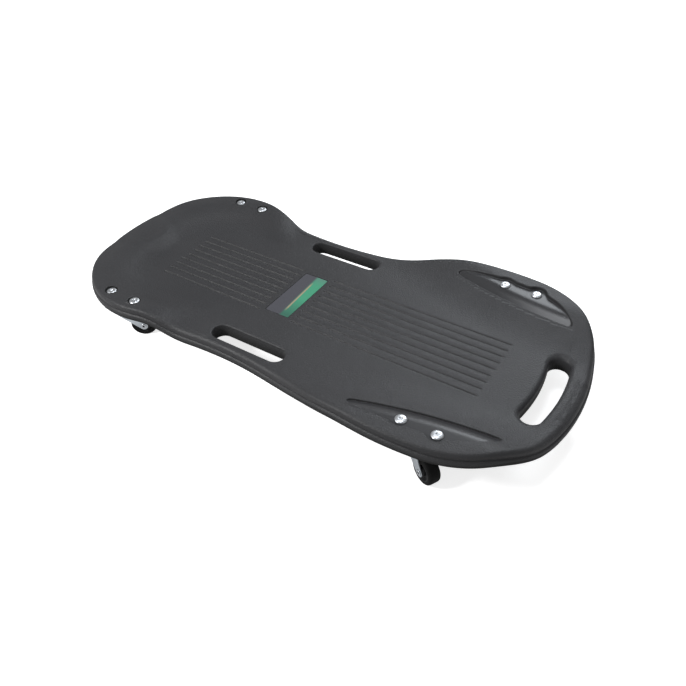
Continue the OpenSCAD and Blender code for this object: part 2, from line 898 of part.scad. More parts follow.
board_shell();
label_plate();
rivets();
head_near(0) caster_plate();  // head_near_plate
head_near(0) caster_kingpin();  // head_near_kingpin
head_near(head_near_angle) caster_balls();  // head_near_balls
head_near(0) caster_washer();  // head_near_washer
head_near(head_near_angle) caster_fork();  // head_near_fork
head_near(head_near_angle) caster_axle();  // head_near_axle
head_near(head_near_angle) caster_bush();  // head_near_bush
head_near(head_near_angle) caster_hub();  // head_near_hub
head_near(head_near_angle) caster_tyre();  // head_near_tyre
head_far(0) caster_plate();  // head_far_plate
head_far(0) caster_kingpin();  // head_far_kingpin
head_far(head_far_angle) caster_balls();  // head_far_balls
head_far(0) caster_washer();  // head_far_washer
head_far(head_far_angle) caster_fork();  // head_far_fork
head_far(head_far_angle) caster_axle();  // head_far_axle
head_far(head_far_angle) caster_bush();  // head_far_bush
head_far(head_far_angle) caster_hub();  // head_far_hub
head_far(head_far_angle) caster_tyre();  // head_far_tyre
foot_near(0) caster_plate();  // foot_near_plate
foot_near(0) caster_kingpin();  // foot_near_kingpin
foot_near(foot_near_angle) caster_balls();  // foot_near_balls
foot_near(0) caster_washer();  // foot_near_washer
foot_near(foot_near_angle) caster_fork();  // foot_near_fork
foot_near(foot_near_angle) caster_axle();  // foot_near_axle
foot_near(foot_near_angle) caster_bush();  // foot_near_bush
foot_near(foot_near_angle) caster_hub();  // foot_near_hub
foot_near(foot_near_angle) caster_tyre();  // foot_near_tyre
foot_far(0) caster_plate();  // foot_far_plate
foot_far(0) caster_kingpin();  // foot_far_kingpin
foot_far(foot_far_angle) caster_balls();  // foot_far_balls
foot_far(0) caster_washer();  // foot_far_washer
foot_far(foot_far_angle) caster_fork();  // foot_far_fork
foot_far(foot_far_angle) caster_axle();  // foot_far_axle
foot_far(foot_far_angle) caster_bush();  // foot_far_bush
foot_far(foot_far_angle) caster_hub();  // foot_far_hub
foot_far(foot_far_angle) caster_tyre();  // foot_far_tyre
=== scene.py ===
# %% [markdown]
# # A low creeper board in Blender
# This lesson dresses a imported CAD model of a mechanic's creeper: a moulded board to lie on, and four swivel
# casters under it. The CAD frame gives every piece its place in metres, so nothing here is placed by eye. A
# new piece is drawn in millimetres, scaled once, and rides on the body of the part that it stands for.

# %% Load the frame
import json
import math
import bpy
import bmesh
from mathutils import Matrix, Vector

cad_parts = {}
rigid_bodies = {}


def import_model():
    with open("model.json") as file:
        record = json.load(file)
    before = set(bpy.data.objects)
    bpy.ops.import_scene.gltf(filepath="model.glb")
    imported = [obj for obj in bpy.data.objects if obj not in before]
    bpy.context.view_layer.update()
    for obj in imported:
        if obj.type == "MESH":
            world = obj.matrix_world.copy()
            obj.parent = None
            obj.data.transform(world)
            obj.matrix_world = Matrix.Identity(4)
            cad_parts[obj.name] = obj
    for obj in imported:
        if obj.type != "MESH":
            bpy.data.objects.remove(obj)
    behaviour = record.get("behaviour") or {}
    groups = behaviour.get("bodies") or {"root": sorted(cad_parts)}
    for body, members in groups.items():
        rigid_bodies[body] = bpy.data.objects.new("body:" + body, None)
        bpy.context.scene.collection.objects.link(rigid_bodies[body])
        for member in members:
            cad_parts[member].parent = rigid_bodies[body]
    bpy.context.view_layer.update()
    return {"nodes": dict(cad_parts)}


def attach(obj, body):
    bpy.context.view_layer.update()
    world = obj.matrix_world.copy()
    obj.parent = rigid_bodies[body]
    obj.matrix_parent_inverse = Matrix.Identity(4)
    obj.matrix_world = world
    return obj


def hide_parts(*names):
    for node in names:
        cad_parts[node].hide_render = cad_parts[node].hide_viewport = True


for thing in list(bpy.data.objects):
    bpy.data.objects.remove(thing)
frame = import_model()
MM = 0.001

# %% [markdown]
# ## From a bmesh to a piece
# Every piece ends the same way: its bmesh is scaled from millimetres to metres, written to a mesh, shaded
# smooth and put on the body that it rides on, and the CAD nodes that it stands for are hidden. One helper
# does it, so that the cells below only make shapes.

# %% Helper for pieces
def finish_piece(bm, name, body, material, nodes):
    bmesh.ops.scale(bm, vec=(MM, MM, MM), verts=bm.verts)
    mesh = bpy.data.meshes.new(name)
    bm.to_mesh(mesh)
    bm.free()
    for face in mesh.polygons:
        face.use_smooth = True
    piece = bpy.data.objects.new(name, mesh)
    bpy.context.scene.collection.objects.link(piece)
    mesh.materials.append(material)
    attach(piece, body)
    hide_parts(*nodes)
    print(name, len(mesh.polygons), "faces")
    return piece


# %% [markdown]
# ## The outline
# The board's edge is a chain of arcs: an end, a corner, the hollow waist, the long side of the foot lobe, a
# corner and the other end, and the same again on the near side. A Bezier curve could draw it by hand, but
# each arc touches the next here, so one list of centres and radii gives every ring of the edge, at any
# distance in from it.

# %% Centres of the arcs
HALF_LENGTH = 506
END_R, CORNER_R, SIDE_R, WAIST_R = 405, 181, 580, 760
HEAD_CORNER_Y = 48
head_end = Vector((END_R - HALF_LENGTH, 0))
foot_end = Vector((HALF_LENGTH - END_R, 0))
head_corner_back = math.sqrt((END_R - CORNER_R) ** 2 - HEAD_CORNER_Y ** 2)
head_corner = Vector((head_end.x - head_corner_back, HEAD_CORNER_Y))
side_middle = Vector((267, -332.5))


def meeting(a, a_gap, b, b_gap, side):
    """The point at one distance from a and at another from b, on the chosen side of the line between."""
    way = b - a
    along = (a_gap ** 2 - b_gap ** 2 + way.length ** 2) / (2 * way.length)
    unit = way.normalized()
    return a + along * unit + side * math.sqrt(a_gap ** 2 - along ** 2) * Vector((-unit.y, unit.x))


foot_corner = meeting(side_middle, SIDE_R - CORNER_R, foot_end, END_R - CORNER_R, -1)
waist_middle = meeting(head_corner, WAIST_R + CORNER_R, side_middle, WAIST_R + SIDE_R, 1)
print("waist centre", [round(v) for v in waist_middle], "foot corner", [round(v, 1) for v in foot_corner])


# %% The chain of arcs
def angle_of(v):
    return math.atan2(v.y, v.x)


# Each arc: centre, radius, first angle, last angle, and 1 where it bulges out or -1 where it is hollow
ARCS = [
    (head_end, END_R, math.pi, angle_of(head_corner - head_end), 1),
    (head_corner, CORNER_R, angle_of(head_corner - head_end), angle_of(waist_middle - head_corner), 1),
    (waist_middle, WAIST_R, angle_of(head_corner - waist_middle), angle_of(side_middle - waist_middle), -1),
    (side_middle, SIDE_R, angle_of(waist_middle - side_middle), angle_of(foot_corner - side_middle), 1),
    (foot_corner, CORNER_R, angle_of(foot_corner - side_middle), angle_of(foot_corner - foot_end), 1),
    (foot_end, END_R, angle_of(foot_corner - foot_end), 0, 1),
]
print("arcs on one side", len(ARCS))


# %% Line of the edge, and how far inside it a point lies
def edge_line(step=4.0):
    """Points round the whole edge, each with its way out."""
    far = []
    for centre, radius, first, last, bulge in ARCS:
        count = max(3, round(abs(last - first) * radius / step))
        for i in range(count):
            a = first + (last - first) * i / count
            way = Vector((math.cos(a), math.sin(a)))
            far.append((centre + radius * way, bulge * way))
    near = [(Vector((p.x, -p.y)), Vector((out.x, -out.y))) for p, out in reversed(far[1:])]
    return far + [(Vector((HALF_LENGTH, 0)), Vector((1, 0)))] + near


def edge_distance(x, y):
    """How far a point lies inside the edge."""
    p = Vector((x, abs(y)))
    best = 1000
    for centre, radius, first, last, bulge in ARCS:
        a = angle_of(p - centre)
        if min(first, last) - 1e-6 <= a <= max(first, last) + 1e-6:
            best = min(best, bulge * (radius - (p - centre).length))
    return best


EDGE = edge_line()
print("edge points", len(EDGE), "and half the waist is", round(edge_distance(-60, 0)), "mm wide")

# %% [markdown]
# ## The heights of the top
# The bed is flat. Two long bolsters rise beside it at the foot end, a rim with a dished bed rises at the
# head end, and a half-moon pad stands at its end. Sculpting could give such forms, but not the same on both
# sides. Here each form is one height rule, and the rules are joined with soft minimum and maximum
# functions, which round the lines where two forms meet as a mould does.

# %% Soft joints between height rules
def soft_min(a, b, reach):
    near = max(reach - abs(a - b), 0) / reach
    return min(a, b) - near * near * reach / 4


def soft_max(a, b, reach):
    return -soft_min(-a, -b, reach)


def ease(value, low, high):
    share = min(max((value - low) / (high - low), 0), 1)
    return share * share * (3 - 2 * share)


print("two slopes that meet at 10 mm are rounded to", soft_min(10, 10, 8), "mm with a reach of 8 mm")

# %% Bolsters at the foot end
BED, THICK = 71, 29
CREST_MIDDLE, CREST_R = (479, 1048), 898
CREST_RISE, CREST_SLOPE = 17, 46
BOLSTER_RISE = 29.5
RAMP_START, RAMP_LENGTH = 60, 100


def inside_crest(x, y):
    """How far a point lies past the bolster's crest, towards the edge."""
    cx, cy = CREST_MIDDLE
    return CREST_R - math.hypot(x - cx, abs(y) - cy)


def foot_rise(x, y):
    slope = CREST_RISE + inside_crest(x, y) * CREST_RISE / CREST_SLOPE
    flat = soft_min((x - RAMP_START) * BOLSTER_RISE / RAMP_LENGTH, BOLSTER_RISE, 7)
    return soft_max(soft_min(slope, flat, 5), 0, 15)


print("bolster", round(BED + foot_rise(315, 200), 1), "mm above the ground")

# %% Rim, bowl and pad at the head end
PAD_X, PAD_R, PAD_RISE, PAD_SLOPE = -486, 58, 18, 28
RIM_RISE, RIM_SLOPE = 25, 52
BOWL_X, BOWL_HALF = -270, 145
HEAD_RAMP_X, HEAD_RAMP = -198, 57


def head_rise(x, y):
    from_pad = math.hypot(x - PAD_X, y)
    half = BOWL_HALF - 3 * ease(x, -290, -240)
    wall = (math.hypot(min(x - BOWL_X, 0), y) - half) * RIM_RISE / RIM_SLOPE
    rim = 18.5 + 6.5 * ease(from_pad, 40, 150)
    ramp = (HEAD_RAMP_X - x) * RIM_RISE / HEAD_RAMP
    raised = soft_max(soft_min(soft_min(wall, rim, 12), ramp, 12), 0, 12)
    return soft_max(raised, soft_min(PAD_RISE, PAD_RISE + (PAD_R - from_pad) * PAD_RISE / PAD_SLOPE, 8), 8)


def bare_height(x, y):
    return BED + (foot_rise(x, abs(y)) if x > 0 else head_rise(x, abs(y)))


print("head rim", round(bare_height(-331, 197), 1), "mm above the ground")

# %% [markdown]
# ## Pockets and bores
# Each bolster has a crescent pocket with a dished floor, scalloped round its two rivets, and the head
# rivets sit in round bores. Cutting them with booleans would leave long thin faces, so each recess is a rule
# too: it says how far a point lies inside the recess, and the floor takes over from the top across its wall.

# %% Recess rules
RIVETS_FOOT = [(284, 201.5), (346, 201.5)]
RIVETS_HEAD = [(-362, 197), (-300, 197)]
SEAT_HEAD, SEAT_FOOT = 90.5, 94
DISH_LOW, DISH_WIDTH = 83.5, 18
POCKET_INSET, POCKET_ENDS = 32.5, (184, 437)
SCALLOP_R, BORE_R = 18, 11.8
WALL = (-0.7, 1.3)


def floor_height(x, y):
    if x < 0:
        return SEAT_HEAD
    dish = DISH_LOW + max(inside_crest(x, y), -2) * (SEAT_FOOT - DISH_LOW) / DISH_WIDTH
    return soft_min(SEAT_FOOT, dish, 5)


def pocket_inside(x, y):
    y = abs(y)
    if x < 150 or y < 130:
        return -50
    inside = soft_min(inside_crest(x, y), edge_distance(x, y) - POCKET_INSET, 10)
    inside = soft_min(inside, soft_min(x - POCKET_ENDS[0], POCKET_ENDS[1] - x, 5), 12)
    for rx, ry in RIVETS_FOOT:
        inside = soft_max(inside, SCALLOP_R - math.hypot(x - rx, y - ry), 6)
    return inside


def bore_inside(x, y):
    return max(BORE_R - math.hypot(x - rx, abs(y) - ry) for rx, ry in RIVETS_HEAD)


def recess_inside(x, y):
    return pocket_inside(x, y) if x > 0 else bore_inside(x, y)


print("pocket floor", round(floor_height(315, 160), 2), "by the crest and", round(floor_height(315, 190), 2))

# %% Grooves, label, grip panel and the whole top
GROOVES = [(i - 4) * 18.2 for i in range(9)]
GROOVE_RUNS = [(-349, -95), (-23, 355)]
GROOVE_DEEP, LABEL_DEEP, GRIP_DEEP = 2.5, 1.2, 0.8
LABEL_X = -60


def groove_depth(x, y):
    dy = min(abs(y - g) for g in GROOVES)
    if dy > 3:
        return 0
    dx = min(max(low + GROOVE_DEEP - x, x - high + GROOVE_DEEP, 0) for low, high in GROOVE_RUNS)
    return GROOVE_DEEP * (1 - ease(math.hypot(dx, dy), 0.6, 2.2))


def grip_share(x, y):
    """1 on the inset panel outside the end handle, 0 beside it."""
    if x <= 400:
        return 0
    out = math.hypot(x - foot_end.x, y)
    return ease(out, 383, 385) * ease(-out, -398, -396) * ease(-abs(y + 9), -51, -49)


def top_height(x, y):
    z = bare_height(x, y)
    floor_z = floor_height(x, y)
    if z > floor_z:
        z += (floor_z - z) * ease(recess_inside(x, y), *WALL)
    inside_label = min(26.5 - abs(x - LABEL_X), 67.5 - abs(y))
    if inside_label > -0.3:
        z -= LABEL_DEEP * ease(inside_label, -0.3, 0.4)
    return z - groove_depth(x, y) - GRIP_DEEP * grip_share(x, y)


print("groove floor", round(top_height(100, 0), 2), "pocket floor", round(top_height(315, 190), 2))

# %% [markdown]
# ## A grid for the top
# A height rule needs a mesh with points where the shape turns. An even grid fine enough for the grooves
# would have over a million faces. So a plain grid is made with one operator, and its lines are then moved:
# close together at the grooves and the label's edge, 3 mm apart over the bolsters, and far apart where the
# bed is flat.

# %% Grid lines
def spread(low, high, step):
    count = max(1, round((high - low) / step))
    return [low + (high - low) * i / count for i in range(count + 1)]


def joined(regular, special, clear):
    """The regular lines that keep clear of the special ones, and the special ones, in order."""
    kept = [r for r in regular if all(abs(r - s) > clear for s in special)]
    return sorted(set(round(v, 4) for v in kept + special))


groove_sides = [g + d for g in GROOVES for d in (-2.4, -1.8, -1.2, -0.6, 0, 0.6, 1.2, 1.8, 2.4)]
groove_middles = [(a + b) / 2 for a, b in zip(GROOVES, GROOVES[1:])]
label_sides = [s * v for s in (-1, 1) for v in (67.2, 67.9, 68.9)]
outer_lines = [s * v for s in (-1, 1) for v in spread(78.5, 241, 3)]
groove_ends = [end + way * d for run in GROOVE_RUNS for end, way in zip(run, (1, -1))
               for d in (-0.2, 1.2, 2.5)]
label_ends = [-87.9, -86.9, -86.1, -33.9, -33.1, -32.1]
plain_lines = spread(-502, -192, 3) + spread(-182, 78, 9) + spread(84, 502, 3)
LINES = (joined(plain_lines, groove_ends + label_ends, 1.2),
         sorted(groove_sides + groove_middles + label_sides + outer_lines))
print("lines along", len(LINES[0]), "and across", len(LINES[1]))


# %% Grid with its lines moved, and what lies outside taken away
def place_grid(bm, lines, keep):
    xs, ys = lines
    made = bmesh.ops.create_grid(bm, x_segments=len(xs) - 1, y_segments=len(ys) - 1, size=1)["verts"]
    for v in made:
        i = round((v.co.x + 1) / 2 * (len(xs) - 1))
        j = round((v.co.y + 1) / 2 * (len(ys) - 1))
        v.co = (xs[i], ys[j], 0)
    outside = [v for v in made if not keep(v.co.x, v.co.y)]
    while outside:
        bmesh.ops.delete(bm, geom=outside, context="VERTS")
        made = [v for v in made if v.is_valid]
        outside = [v for v in made if not v.link_faces or sum(e.is_boundary for e in v.link_edges) > 2]
    return made


# %% [markdown]
# ## Handle slots
# Two straight slots beside the bed and a curved one at the foot end are the handles. Each is a round-ended
# outline that can be drawn at any distance out, which gives the rings of its rounded rim, and a rule that
# tells the grid how near a slot is.

# %% Sizes of the slots
# Side slot: x and y of its middle, half the length between its round ends, and their radius
SIDE_SLOT = (-53, 162, 62, 18)
# End slot: radius of its bent middle line, half its width, and the radius of its round ends
END_SLOT = (349, 66, 18)
SIDE_RIM, END_RIM = 3.5, 9


def slot_gap(x, y):
    """How far a point lies from the nearest slot rim."""
    cx, cy, half, radius = SIDE_SLOT
    side = math.hypot(max(abs(x - cx) - half, 0), abs(y) - cy) - radius
    middle, half, radius = END_SLOT
    lean = math.asin(half / middle)
    a = min(math.atan2(abs(y), x - foot_end.x), lean)
    end = math.hypot(x - foot_end.x - middle * math.cos(a), abs(y) - middle * math.sin(a)) - radius
    return min(side - SIDE_RIM, end - END_RIM)


print("the bed is", round(slot_gap(0, 0)), "mm from a slot rim")


# %% Outlines of the slots
def side_slot_ring(side, offset):
    cx, cy, half, radius = SIDE_SLOT
    points = []
    for end in (1, -1):
        for i in range(17):
            a = math.pi * (i / 16 - 0.5)
            out = Vector((math.cos(a), math.sin(a))) * (radius + offset)
            points.append(Vector((cx, side * cy)) + end * (Vector((half, 0)) + out))
        for i in range(1, 24):
            along_slot = half * (1 - i / 12)
            points.append(Vector((cx, side * cy)) + end * Vector((along_slot, radius + offset)))
    return points


def end_slot_ring(offset):
    middle, half, radius = END_SLOT
    lean = math.asin(half / middle)
    points = []
    for i in range(31):
        a = lean * (2 * i / 30 - 1)
        points.append(foot_end + (middle + radius + offset) * Vector((math.cos(a), math.sin(a))))
    for sign in (1, -1):
        centre = foot_end + middle * Vector((math.cos(lean), sign * math.sin(lean)))
        for i in range(1, 16):
            a = sign * lean + (0 if sign == 1 else math.pi) + math.pi * i / 16
            points.append(centre + (radius + offset) * Vector((math.cos(a), math.sin(a))))
        if sign == 1:
            for i in range(31):
                a = lean * (1 - 2 * i / 30)
                points.append(foot_end + (middle - radius - offset) * Vector((math.cos(a), math.sin(a))))
    return points


SLOTS = [lambda offset: side_slot_ring(-1, offset), lambda offset: side_slot_ring(1, offset), end_slot_ring]
SLOT_RIMS = [SIDE_RIM, SIDE_RIM, END_RIM]
print("slot loops", [len(s(0)) for s in SLOTS], "points")


# %% [markdown]
# ## Loops and fills
# The edge, the slots and the recesses are round, so the grid can't follow them. It stops short of them, each
# gets a loop of its own, and the flat strip between is filled with triangles. From a loop the walls grow by
# extruding its edges, ring by ring.

# %% Loops
def add_loop(bm, points, height):
    verts = [bm.verts.new((p.x, p.y, height(p))) for p in points]
    for a, b in zip(verts, verts[1:] + verts[:1]):
        bm.edges.new((a, b))
    return verts


def loop_edges(bm, verts):
    return [bm.edges.get((a, b)) for a, b in zip(verts, verts[1:] + verts[:1])]


def grow_ring(bm, verts, places):
    made = bmesh.ops.extrude_edge_only(bm, edges=loop_edges(bm, verts))["geom"]
    fresh = {v for v in made if isinstance(v, bmesh.types.BMVert)}
    following = []
    for v, place in zip(verts, places):
        new = next(e.other_vert(v) for e in v.link_edges if e.other_vert(v) in fresh)
        new.co = place
        following.append(new)
    return following


def fill_between(bm, loops, rim_test):
    rims = [e for e in bm.edges if e.is_boundary and rim_test(e)]
    edges = [e for verts in loops for e in loop_edges(bm, verts)]
    bmesh.ops.triangle_fill(bm, use_beauty=True, use_dissolve=False, edges=edges + rims, normal=(0, 0, 1))


# %% [markdown]
# The outline of a recess is known only through its rule, so its loop is traced: from a start, each step goes
# along the wall, and the point then settles on the level that is asked for, as a walker keeps to one height
# line of a map. The same points settle on the other levels too, so the wall gets even bands.

# %% Traced outlines
def slope_of(rule, x, y):
    here = rule(x, y)
    return Vector((rule(x + 0.05, y) - here, rule(x, y + 0.05) - here)) * 20


def settle(rule, p, level):
    for _ in range(5):
        slope = slope_of(rule, *p)
        p = p - slope * (rule(*p) - level) / max(slope.length_squared, 0.2)
    return p


def traced(rule, start, level, step=2.3):
    points = [settle(rule, Vector(start), level)]
    while len(points) < 600:
        slope = slope_of(rule, *points[-1]).normalized()
        p = settle(rule, points[-1] + step * Vector((slope.y, -slope.x)), level)
        if len(points) > 5 and (p - points[0]).length < 0.8 * step:
            break
        points.append(p)
    return points


print("pocket outline", len(traced(pocket_inside, (315, 170), 0)), "points")

# %% [markdown]
# ## The moulded board
# The upper edge is rounded, falls to a crease, and a lip bulges out under it: that is how the two halves of
# such a moulding meet. The underside follows the top at the board's thickness, with flat pads for the
# casters and a few stiffening channels.

# %% Profiles of the edge and of the slots, as distance in from the edge and drop
ROUND_ANGLES = [math.radians(a) for a in range(15, 91, 15)]
LIP_PROFILE = [(3, 11.4), (3.5, 12.4), (3.7, 13.1), (2.8, 13.8), (1.2, 14.6), (0.4, 16.4),
               (0.1, 19.5), (0.3, 23.3), (1.2, 26.2), (3.2, 28.3), (6, 29)]
SIDE_RIM_PROFILE = [(2, 0.45), (0.8, 1.5), (0.2, 3), (0, 5)]
END_RIM_PROFILE = [(7, 0.25), (5, 0.9), (3.2, 2), (1.7, 3.6), (0.6, 5.8), (0.1, 8.2)]
SLOT_FOOT = [(0, 24), (0.2, 26), (0.8, 27.5), (2, 28.55), (3.5, 29)]
ROUND_INSET = 3


def round_radius(z):
    return 10.5 - 4 * ease(z - BED, 0, 14)


def edge_room(x, y):
    return edge_distance(x, y) - 0.4 - ROUND_INSET - round_radius(bare_height(x, y))


print("the edge's round has radius", round_radius(BED), "at the waist and", round_radius(100), "at a bolster")

# %% Heights of the underside
PLATES = [(-331, 197), (315, 201.5)]
PAD_HALF = (45.2, 26.2)
PLATE_TOP = 66
CHANNELS, CHANNEL_END, CHANNEL_DEEP = (27.3, 81.9), 247.75, 7.25


def under_height(x, y):
    z = bare_height(x, y) - THICK
    pad = max(min(PAD_HALF[0] - abs(x - px), PAD_HALF[1] - abs(abs(y) - py)) for px, py in PLATES)
    z += (PLATE_TOP - z) * ease(pad, 0, 1.5)
    channel = min(math.hypot(max(abs(x) - CHANNEL_END, 0), abs(abs(y) - c)) for c in CHANNELS)
    return z + CHANNEL_DEEP * (1 - ease(channel, 5, CHANNEL_DEEP))


print("underside at the bed", under_height(300, 0), "at a plate", under_height(-331, 197))


# %% Outlines of the top skin
def one_bore(cx, cy):
    return lambda x, y: BORE_R - math.hypot(x - cx, y - cy)


def on_top(p):
    return top_height(p.x, p.y)


def clear_of_loops(x, y):
    return abs(recess_inside(x, y) - 0.3) > 3.6 and slot_gap(x, y) > 2 and edge_room(x, y) > 2


RECESS_RULES = [(pocket_inside, (315, side * 170)) for side in (-1, 1)]
RECESS_RULES += [(one_bore(rx, side * ry), (rx + 10, side * ry))
                 for side in (-1, 1) for rx, ry in RIVETS_HEAD]
WALL_BANDS = [-1.7, -0.7, -0.2, 0.2, 0.5, 0.8, 1.3, 2.3]
board = bmesh.new()
for v in place_grid(board, LINES, clear_of_loops):
    v.co.z = on_top(v.co)
edge_rounds = [round_radius(bare_height(*(p - 12 * out))) for p, out in EDGE]
edge_starts = [p - (0.4 + ROUND_INSET + r) * out for (p, out), r in zip(EDGE, edge_rounds)]
edge_loop = add_loop(board, edge_starts, on_top)
slot_loops = [add_loop(board, s(rim), on_top) for s, rim in zip(SLOTS, SLOT_RIMS)]
recess_loops = []
for rule, start in RECESS_RULES:
    outer = traced(rule, start, WALL_BANDS[0])
    walls = [add_loop(board, [settle(rule, p, level) for p in outer], on_top)
             for level in (WALL_BANDS[0], WALL_BANDS[-1])]
    recess_loops.append((rule, walls))
print("recess loops", [len(walls[0]) for _, walls in recess_loops])

# %% Top skin
fill_between(board, [edge_loop] + slot_loops + [w for _, walls in recess_loops for w in walls],
             lambda e: len(e.link_faces) == 1)
for rule, (upper, _) in recess_loops:
    ring = upper
    for level in WALL_BANDS[1:]:
        points = [settle(rule, Vector(v.co[:2]), level) for v in upper]
        ring = grow_ring(board, ring, [(*p, top_height(*p)) for p in points])
bmesh.ops.remove_doubles(board, verts=board.verts, dist=0.01)
print("top skin", len(board.faces), "faces")

# %% Edge and slot walls
edge_base = [v.co.z for v in edge_loop]
for a in ROUND_ANGLES:
    drops = [(ROUND_INSET + r * (1 - math.sin(a)), r * (1 - math.cos(a))) for r in edge_rounds]
    places = [(*(p - inset * out), z - drop - GRIP_DEEP * grip_share(*(p - inset * out)))
              for (p, out), z, (inset, drop) in zip(EDGE, edge_base, drops)]
    edge_loop = grow_ring(board, edge_loop, places)
for inset, drop in LIP_PROFILE:
    places = [(*(p - inset * out), z - drop) for (p, out), z in zip(EDGE, edge_base)]
    edge_loop = grow_ring(board, edge_loop, places)
for index, slot_ring in enumerate(SLOTS):
    for offset, drop in (END_RIM_PROFILE if index == 2 else SIDE_RIM_PROFILE) + SLOT_FOOT:
        places = [(p.x, p.y, BED - drop) for p in slot_ring(offset)]
        slot_loops[index] = grow_ring(board, slot_loops[index], places)
print("with the walls", len(board.faces), "faces")

# %% Underside
plate_sides = [px + s * d for px, _ in PLATES for s in (-1, 1) for d in (43.7, 45.2)]
channel_sides = [s * (c + d) for s in (-1, 1) for c in CHANNELS for d in (-7.2, -5, 5, 7.2)]
under_lines = (joined(spread(-500, 500, 6), plate_sides, 2), joined(spread(-237, 237, 6), channel_sides, 2))
upper_edges = set(board.edges)
for v in place_grid(board, under_lines, lambda x, y: slot_gap(x, y) > 2.5 and edge_distance(x, y) > 9):
    v.co.z = under_height(v.co.x, v.co.y)
fill_between(board, [edge_loop] + slot_loops, lambda e: e not in upper_edges and len(e.link_faces) == 1)
bmesh.ops.remove_doubles(board, verts=board.verts, dist=0.01)
bmesh.ops.recalc_face_normals(board, faces=board.faces)
print("open edges", sum(1 for e in board.edges if e.is_boundary), "of", len(board.edges))

# %% [markdown]
# The moulding is pebbled all over, except in the pockets and on the grip panel, and shade is painted darker
# into its colour below the lip, in the bores, on the pocket walls and round the label. Painting such places
# would need an image, so two numbers are written on each point of the mesh, and the finish reads them.

# %% Shares of smooth plastic and of painted shade
smooth_share = board.verts.layers.float.new("smooth_share")
painted_shade_share = board.verts.layers.float.new("painted_shade_share")
for v in board.verts:
    x, y, z = v.co
    if z > BED:
        v[smooth_share] = max(ease(recess_inside(x, y), 0.4, 1.8) if z > 80 else 0, grip_share(x, y))
    # Painted shade: the colour is darkened in the bores, on the pocket walls, round the label, and below the
    # lip and on the underside, where shade falls.
    in_bore = ease(bore_inside(x, y), -0.8, 0.2) if z > 85 else 0
    on_wall = 0.8 * max(0, 1 - abs(pocket_inside(x, y) - 0.4)) if z > 80 else 0
    by_label = 0.8 if abs(x - LABEL_X) < 27 and abs(y) < 68 and z < 72 else 0
    v[painted_shade_share] = max(ease(bare_height(x, y) - z, 17, 24), in_bore, on_wall, by_label)
print("points with some dark", sum(v[painted_shade_share] > 0.1 for v in board.verts), "of", len(board.verts))


# %% [markdown]
# ## Finishes
# Every finish is a small group of nodes that reads object coordinates, so it sits still on its piece. An
# image texture would need unwrapping, and none of these finishes has a picture on it. The helpers start a
# material, join nodes, and add a fine bump.

# %% Helpers that start a finish
def new_material(name, colour, roughness, metallic=0):
    material = bpy.data.materials.new(name)
    material.use_nodes = True
    shader = material.node_tree.nodes["Principled BSDF"]
    shader.inputs["Base Color"].default_value = (*colour, 1)
    shader.inputs["Roughness"].default_value = roughness
    shader.inputs["Specular IOR Level"].default_value = 0.3
    shader.inputs["Metallic"].default_value = metallic
    return material, material.node_tree, shader


def add_node(tree, kind, values=(), **settings):
    node = tree.nodes.new(kind)
    for key, value in settings.items():
        setattr(node, key, value)
    for key, value in values:
        node.inputs[key].default_value = value
    return node


def object_noise(tree, scale, detail=2.0, rough=0.5):
    place = add_node(tree, "ShaderNodeTexCoord")
    noise = add_node(tree, "ShaderNodeTexNoise", [("Scale", scale), ("Detail", detail), ("Roughness", rough)])
    tree.links.new(place.outputs["Object"], noise.inputs["Vector"])
    return noise.outputs["Fac"]


# %% Helpers that bump, mix, remap and combine
def add_bump(tree, shader, height, distance, strength):
    bump = add_node(tree, "ShaderNodeBump", [("Distance", distance), ("Strength", strength)])
    tree.links.new(height, bump.inputs["Height"])
    tree.links.new(bump.outputs["Normal"], shader.inputs["Normal"])
    return bump


def blend_colours(tree, share, low, high):
    """A mix of two colours, each given as numbers or as another node's output."""
    mix = add_node(tree, "ShaderNodeMix", data_type="RGBA")
    tree.links.new(share, mix.inputs["Factor"])
    for key, colour in (("A", low), ("B", high)):
        if isinstance(colour, tuple):
            mix.inputs[key].default_value = (*colour, 1)
        else:
            tree.links.new(colour, mix.inputs[key])
    return mix.outputs["Result"]


def remap(tree, value, low, high, to_low=0.0, to_high=1.0):
    node = add_node(tree, "ShaderNodeMapRange",
                    [("From Min", low), ("From Max", high), ("To Min", to_low), ("To Max", to_high)])
    tree.links.new(value, node.inputs["Value"])
    return node.outputs["Result"]


def combine(tree, operation, *terms):
    """One maths node whose terms are numbers or other nodes' outputs."""
    node = add_node(tree, "ShaderNodeMath", operation=operation)
    for index, term in enumerate(terms):
        if isinstance(term, (int, float)):
            node.inputs[index].default_value = term
        else:
            tree.links.new(term, node.inputs[index])
    return node.outputs["Value"]


# %% [markdown]
# ## Board plastic
# The board is blow-moulded from charcoal polyethylene: dull, with a pebble in its skin that the mould gives.
# A slow noise moves the colour and the roughness a little, a fine one is the pebble, and the two shares on
# the mesh smooth it in the pockets and paint shade into the low places.

# %% Pebbled board plastic
# The last colour is painted shade: the near black that the plastic is mixed towards where shade falls.
CHARCOAL, CHARCOAL_PALE, PAINTED_SHADE = (0.027, 0.027, 0.029), (0.033, 0.033, 0.035), (0.008, 0.008, 0.008)


